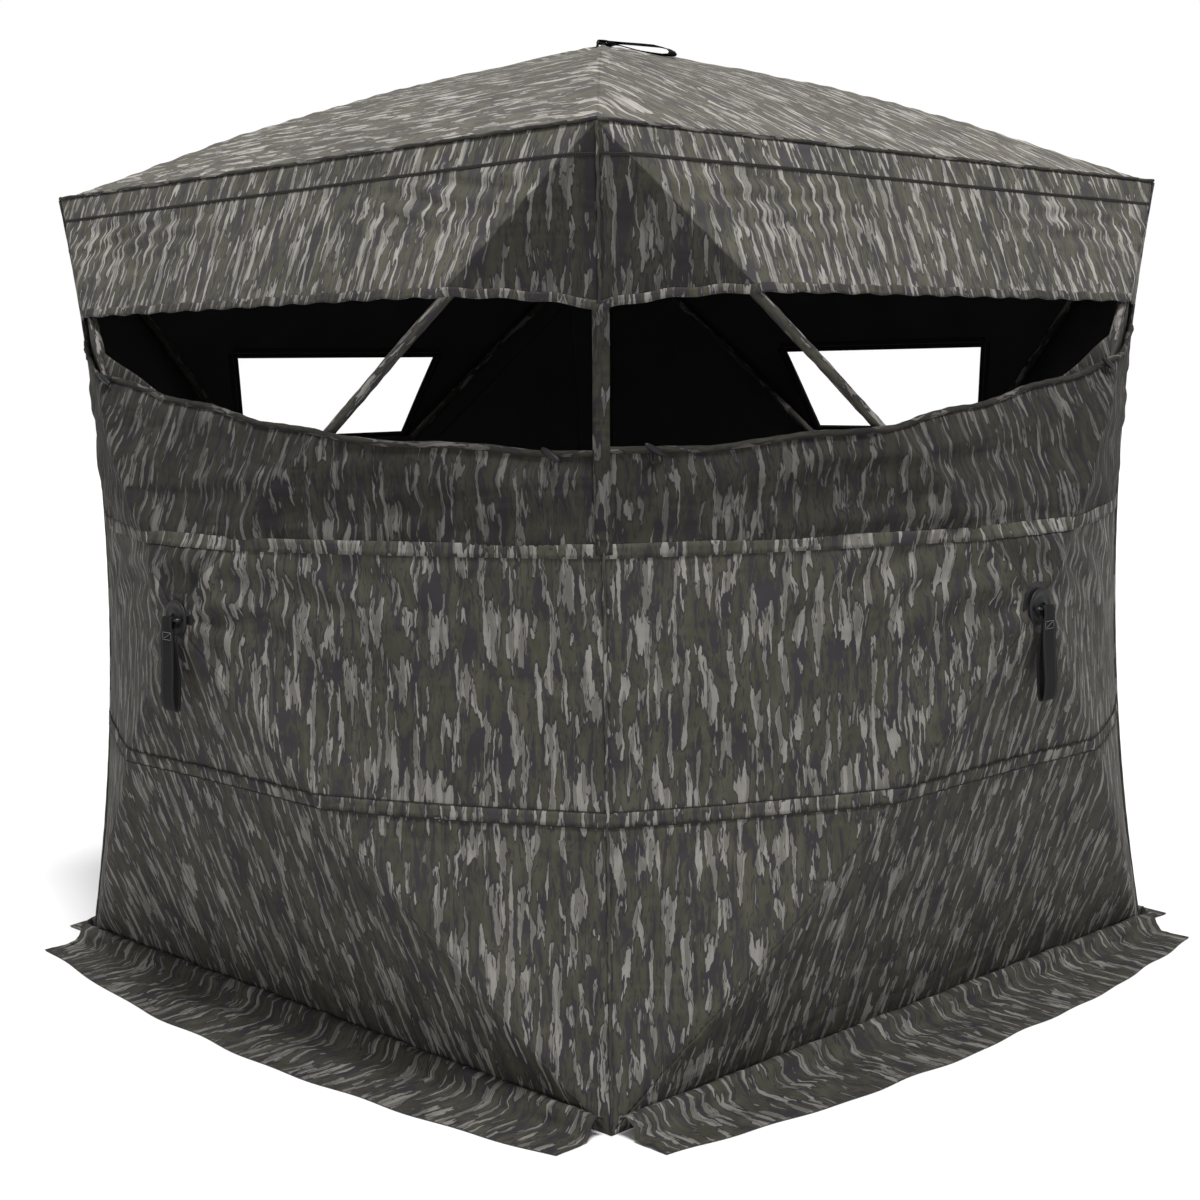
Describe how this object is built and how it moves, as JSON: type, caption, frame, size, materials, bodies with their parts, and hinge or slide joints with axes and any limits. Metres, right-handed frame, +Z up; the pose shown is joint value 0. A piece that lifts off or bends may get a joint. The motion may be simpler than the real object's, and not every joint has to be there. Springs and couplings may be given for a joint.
{
  "type": "pop up ground blind",
  "caption": "Square cloth hide held out by sprung hubs and crossed rods in its roof and walls, with a wide corner window, small rear windows, a door and ground skirts.",
  "frame": {"origin": "on the ground under the roof hub, at the middle of the square", "axes": "+Z up; the near corner, where the two walls with the wide window meet, is at -X -Y; +X and +Y point at the right and back walls"},
  "size_m": [2.0264, 2.0264, 1.7652],
  "materials": {
    "roof_cloth": "matte woven polyester with a camouflage print",
    "wall_cloth": "matte woven polyester with a camouflage print",
    "skirt_cloth": "matte woven polyester with a camouflage print",
    "screen_cloth": "fine mesh with a camouflage print",
    "webbing": "ribbed black webbing",
    "strap_plate": "black powder coat",
    "hub_plastic": "moulded, matte",
    "rod_glass_fibre": "smooth glass-fibre rod"
  },
  "bodies": {
    "cabin": {"roof": "roof_cloth", "left_wall_valance": "wall_cloth", "left_wall": "wall_cloth", "left_window_screen": "screen_cloth", "front_wall_valance": "wall_cloth", "front_wall": "wall_cloth", "front_window_screen": "screen_cloth", "right_wall": "wall_cloth", "back_wall": "wall_cloth", "left_skirt": "skirt_cloth", "front_skirt": "skirt_cloth", "right_skirt": "skirt_cloth", "back_skirt": "skirt_cloth", "corner_strap": "webbing", "bottom_pocket_front_left": "webbing", "top_pocket_front_left": "webbing", "bottom_pocket_back_left": "webbing", "top_pocket_back_left": "webbing", "bottom_pocket_front_right": "webbing", "top_pocket_front_right": "webbing", "bottom_pocket_back_right": "webbing", "top_pocket_back_right": "webbing"},
    "roof_hub": {"roof_hub": "hub_plastic", "roof_hub_cap": "strap_plate"},
    "roof_rod_1": {"roof_rod_1": "rod_glass_fibre"},
    "roof_rod_2": {"roof_rod_2": "rod_glass_fibre"},
    "roof_rod_3": {"roof_rod_3": "rod_glass_fibre"},
    "roof_rod_4": {"roof_rod_4": "rod_glass_fibre"},
    "roof_pull_strap": {"roof_pull_strap": "webbing"},
    "left_hub": {"left_hub": "hub_plastic", "left_hub_cap": "strap_plate"},
    "left_rod_1": {"left_rod_1": "rod_glass_fibre"},
    "left_rod_2": {"left_rod_2": "rod_glass_fibre"},
    "left_rod_3": {"left_rod_3": "rod_glass_fibre"},
    "left_rod_4": {"left_rod_4": "rod_glass_fibre"},
    "left_pull_strap": {"left_pull_strap": "webbing"},
    "front_hub": {"front_hub": "hub_plastic", "front_hub_cap": "strap_plate"},
    "front_rod_1": {"front_rod_1": "rod_glass_fibre"},
    "front_rod_2": {"front_rod_2": "rod_glass_fibre"},
    "front_rod_3": {"front_rod_3": "rod_glass_fibre"},
    "front_rod_4": {"front_rod_4": "rod_glass_fibre"},
    "front_pull_strap": {"front_pull_strap": "webbing"},
    "right_hub": {"right_hub": "hub_plastic", "right_hub_cap": "strap_plate"},
    "right_rod_1": {"right_rod_1": "rod_glass_fibre"},
    "right_rod_2": {"right_rod_2": "rod_glass_fibre"},
    "right_rod_3": {"right_rod_3": "rod_glass_fibre"},
    "right_rod_4": {"right_rod_4": "rod_glass_fibre"},
    "right_pull_strap": {"right_pull_strap": "webbing"},
    "back_hub": {"back_hub": "hub_plastic", "back_hub_cap": "strap_plate"},
    "back_rod_1": {"back_rod_1": "rod_glass_fibre"},
    "back_rod_2": {"back_rod_2": "rod_glass_fibre"},
    "back_rod_3": {"back_rod_3": "rod_glass_fibre"},
    "back_rod_4": {"back_rod_4": "rod_glass_fibre"},
    "back_pull_strap": {"back_pull_strap": "webbing"},
    "door": {"door": "wall_cloth"},
    "right_window_cover": {"right_window_cover": "screen_cloth"},
    "back_window_cover": {"back_window_cover": "screen_cloth"}
  },
  "joints": [
    {"name": "roof_pop", "type": "slide", "parent": "cabin", "child": "roof_hub", "axis": [0, 0, -1], "range_m": [0, 0.524], "deforming": ["roof", "left_wall_valance", "left_wall", "left_window_screen", "front_wall_valance", "front_wall", "front_window_screen", "right_wall", "back_wall", "corner_strap", "door", "right_window_cover", "back_window_cover"]},
    {"name": "roof_rod_1_pivot", "type": "hinge", "parent": "roof_hub", "child": "roof_rod_1", "pos_m": [0.02121, -0.02121, 1.72465], "axis": [-0.7071, -0.7071, 0], "range_deg": [-0.5, 29.03]},
    {"name": "roof_rod_2_pivot", "type": "hinge", "parent": "roof_hub", "child": "roof_rod_2", "pos_m": [-0.02121, -0.02121, 1.72465], "axis": [-0.7071, 0.7071, 0], "range_deg": [-0.5, 29.03]},
    {"name": "roof_rod_3_pivot", "type": "hinge", "parent": "roof_hub", "child": "roof_rod_3", "pos_m": [-0.02121, 0.02121, 1.72465], "axis": [0.7071, 0.7071, 0], "range_deg": [-0.5, 29.03]},
    {"name": "roof_rod_4_pivot", "type": "hinge", "parent": "roof_hub", "child": "roof_rod_4", "pos_m": [0.02121, 0.02121, 1.72465], "axis": [0.7071, -0.7071, 0], "range_deg": [-0.5, 29.03]},
    {"name": "roof_strap_swing", "type": "hinge", "parent": "roof_hub", "child": "roof_pull_strap", "pos_m": [0, 0, 1.75935], "axis": [-0.9397, -0.342, 0], "range_deg": [0, 160]},
    {"name": "left_pop", "type": "slide", "parent": "cabin", "child": "left_hub", "axis": [1, 0, 0], "range_m": [0, 0.48], "deforming": ["roof", "left_wall_valance", "left_wall", "left_window_screen", "front_wall_valance", "front_wall", "front_window_screen", "right_wall", "back_wall", "corner_strap", "door", "right_window_cover", "back_window_cover"]},
    {"name": "left_rod_1_pivot", "type": "hinge", "parent": "left_hub", "child": "left_rod_1", "pos_m": [-0.97265, 0.02135, 0.76107], "axis": [0, -0.7023, 0.7118], "range_deg": [-0.5, 26.89]},
    {"name": "left_rod_2_pivot", "type": "hinge", "parent": "left_hub", "child": "left_rod_2", "pos_m": [-0.97265, -0.02135, 0.76107], "axis": [0, -0.7023, -0.7118], "range_deg": [-0.5, 26.89]},
    {"name": "left_rod_3_pivot", "type": "hinge", "parent": "left_hub", "child": "left_rod_3", "pos_m": [-0.97265, -0.02135, 0.71893], "axis": [0, 0.7023, -0.7118], "range_deg": [-0.5, 26.89]},
    {"name": "left_rod_4_pivot", "type": "hinge", "parent": "left_hub", "child": "left_rod_4", "pos_m": [-0.97265, 0.02135, 0.71893], "axis": [0, 0.7023, 0.7118], "range_deg": [-0.5, 26.89]},
    {"name": "left_strap_swing", "type": "hinge", "parent": "left_hub", "child": "left_pull_strap", "pos_m": [-1.00735, 0, 0.74], "axis": [0, 1, 0], "range_deg": [-12, 120]},
    {"name": "front_pop", "type": "slide", "parent": "cabin", "child": "front_hub", "axis": [0, 1, 0], "range_m": [0, 0.48], "deforming": ["roof", "left_wall_valance", "left_wall", "left_window_screen", "front_wall_valance", "front_wall", "front_window_screen", "right_wall", "back_wall", "corner_strap", "door", "right_window_cover", "back_window_cover"]},
    {"name": "front_rod_1_pivot", "type": "hinge", "parent": "front_hub", "child": "front_rod_1", "pos_m": [-0.02135, -0.97265, 0.76107], "axis": [0.7023, 0, 0.7118], "range_deg": [-0.5, 26.89]},
    {"name": "front_rod_2_pivot", "type": "hinge", "parent": "front_hub", "child": "front_rod_2", "pos_m": [0.02135, -0.97265, 0.76107], "axis": [0.7023, 0, -0.7118], "range_deg": [-0.5, 26.89]},
    {"name": "front_rod_3_pivot", "type": "hinge", "parent": "front_hub", "child": "front_rod_3", "pos_m": [0.02135, -0.97265, 0.71893], "axis": [-0.7023, 0, -0.7118], "range_deg": [-0.5, 26.89]},
    {"name": "front_rod_4_pivot", "type": "hinge", "parent": "front_hub", "child": "front_rod_4", "pos_m": [-0.02135, -0.97265, 0.71893], "axis": [-0.7023, 0, 0.7118], "range_deg": [-0.5, 26.89]},
    {"name": "front_strap_swing", "type": "hinge", "parent": "front_hub", "child": "front_pull_strap", "pos_m": [0, -1.00735, 0.74], "axis": [-1, 0, 0], "range_deg": [-12, 120]},
    {"name": "right_pop", "type": "slide", "parent": "cabin", "child": "right_hub", "axis": [-1, 0, 0], "range_m": [0, 0.48], "deforming": ["roof", "left_wall_valance", "left_wall", "left_window_screen", "front_wall_valance", "front_wall", "front_window_screen", "right_wall", "back_wall", "corner_strap", "door", "right_window_cover", "back_window_cover"]},
    {"name": "right_rod_1_pivot", "type": "hinge", "parent": "right_hub", "child": "right_rod_1", "pos_m": [0.97265, -0.02135, 0.76107], "axis": [0, 0.7023, 0.7118], "range_deg": [-0.5, 26.89]},
    {"name": "right_rod_2_pivot", "type": "hinge", "parent": "right_hub", "child": "right_rod_2", "pos_m": [0.97265, 0.02135, 0.76107], "axis": [0, 0.7023, -0.7118], "range_deg": [-0.5, 26.89]},
    {"name": "right_rod_3_pivot", "type": "hinge", "parent": "right_hub", "child": "right_rod_3", "pos_m": [0.97265, 0.02135, 0.71893], "axis": [0, -0.7023, -0.7118], "range_deg": [-0.5, 26.89]},
    {"name": "right_rod_4_pivot", "type": "hinge", "parent": "right_hub", "child": "right_rod_4", "pos_m": [0.97265, -0.02135, 0.71893], "axis": [0, -0.7023, 0.7118], "range_deg": [-0.5, 26.89]},
    {"name": "right_strap_swing", "type": "hinge", "parent": "right_hub", "child": "right_pull_strap", "pos_m": [1.00735, 0, 0.74], "axis": [0, -1, 0], "range_deg": [-12, 120]},
    {"name": "back_pop", "type": "slide", "parent": "cabin", "child": "back_hub", "axis": [0, -1, 0], "range_m": [0, 0.48], "deforming": ["roof", "left_wall_valance", "left_wall", "left_window_screen", "front_wall_valance", "front_wall", "front_window_screen", "right_wall", "back_wall", "corner_strap", "door", "right_window_cover", "back_window_cover"]},
    {"name": "back_rod_1_pivot", "type": "hinge", "parent": "back_hub", "child": "back_rod_1", "pos_m": [0.02135, 0.97265, 0.76107], "axis": [-0.7023, 0, 0.7118], "range_deg": [-0.5, 26.89]},
    {"name": "back_rod_2_pivot", "type": "hinge", "parent": "back_hub", "child": "back_rod_2", "pos_m": [-0.02135, 0.97265, 0.76107], "axis": [-0.7023, 0, -0.7118], "range_deg": [-0.5, 26.89]},
    {"name": "back_rod_3_pivot", "type": "hinge", "parent": "back_hub", "child": "back_rod_3", "pos_m": [-0.02135, 0.97265, 0.71893], "axis": [0.7023, 0, -0.7118], "range_deg": [-0.5, 26.89]},
    {"name": "back_rod_4_pivot", "type": "hinge", "parent": "back_hub", "child": "back_rod_4", "pos_m": [0.02135, 0.97265, 0.71893], "axis": [0.7023, 0, 0.7118], "range_deg": [-0.5, 26.89]},
    {"name": "back_strap_swing", "type": "hinge", "parent": "back_hub", "child": "back_pull_strap", "pos_m": [0, 1.00735, 0.74], "axis": [1, 0, 0], "range_deg": [-12, 120]},
    {"name": "door_swing", "type": "hinge", "parent": "cabin", "child": "door", "pos_m": [0.6405, 0.794, 0.74], "axis": [0, 0, -1], "range_deg": [0, 110]},
    {"name": "right_cover_swing", "type": "hinge", "parent": "cabin", "child": "right_window_cover", "pos_m": [0.90996, 0, 0.987], "axis": [0, 1, 0], "range_deg": [0, 160]},
    {"name": "back_cover_swing", "type": "hinge", "parent": "cabin", "child": "back_window_cover", "pos_m": [0, 0.90996, 0.987], "axis": [-1, 0, 0], "range_deg": [0, 160]}
  ],
  "couplings": [
    {"joint": "roof_rod_1_pivot", "follows": "roof_pop", "rad_per_m": 0.95013},
    {"joint": "roof_rod_2_pivot", "follows": "roof_pop", "rad_per_m": 0.95013},
    {"joint": "roof_rod_3_pivot", "follows": "roof_pop", "rad_per_m": 0.95013},
    {"joint": "roof_rod_4_pivot", "follows": "roof_pop", "rad_per_m": 0.95013},
    {"joint": "left_rod_1_pivot", "follows": "left_pop", "rad_per_m": 0.9596},
    {"joint": "left_rod_2_pivot", "follows": "left_pop", "rad_per_m": 0.9596},
    {"joint": "left_rod_3_pivot", "follows": "left_pop", "rad_per_m": 0.9596},
    {"joint": "left_rod_4_pivot", "follows": "left_pop", "rad_per_m": 0.9596},
    {"joint": "front_rod_1_pivot", "follows": "front_pop", "rad_per_m": 0.9596},
    {"joint": "front_rod_2_pivot", "follows": "front_pop", "rad_per_m": 0.9596},
    {"joint": "front_rod_3_pivot", "follows": "front_pop", "rad_per_m": 0.9596},
    {"joint": "front_rod_4_pivot", "follows": "front_pop", "rad_per_m": 0.9596},
    {"joint": "right_rod_1_pivot", "follows": "right_pop", "rad_per_m": 0.9596},
    {"joint": "right_rod_2_pivot", "follows": "right_pop", "rad_per_m": 0.9596},
    {"joint": "right_rod_3_pivot", "follows": "right_pop", "rad_per_m": 0.9596},
    {"joint": "right_rod_4_pivot", "follows": "right_pop", "rad_per_m": 0.9596},
    {"joint": "back_rod_1_pivot", "follows": "back_pop", "rad_per_m": 0.9596},
    {"joint": "back_rod_2_pivot", "follows": "back_pop", "rad_per_m": 0.9596},
    {"joint": "back_rod_3_pivot", "follows": "back_pop", "rad_per_m": 0.9596},
    {"joint": "back_rod_4_pivot", "follows": "back_pop", "rad_per_m": 0.9596}
  ]
}
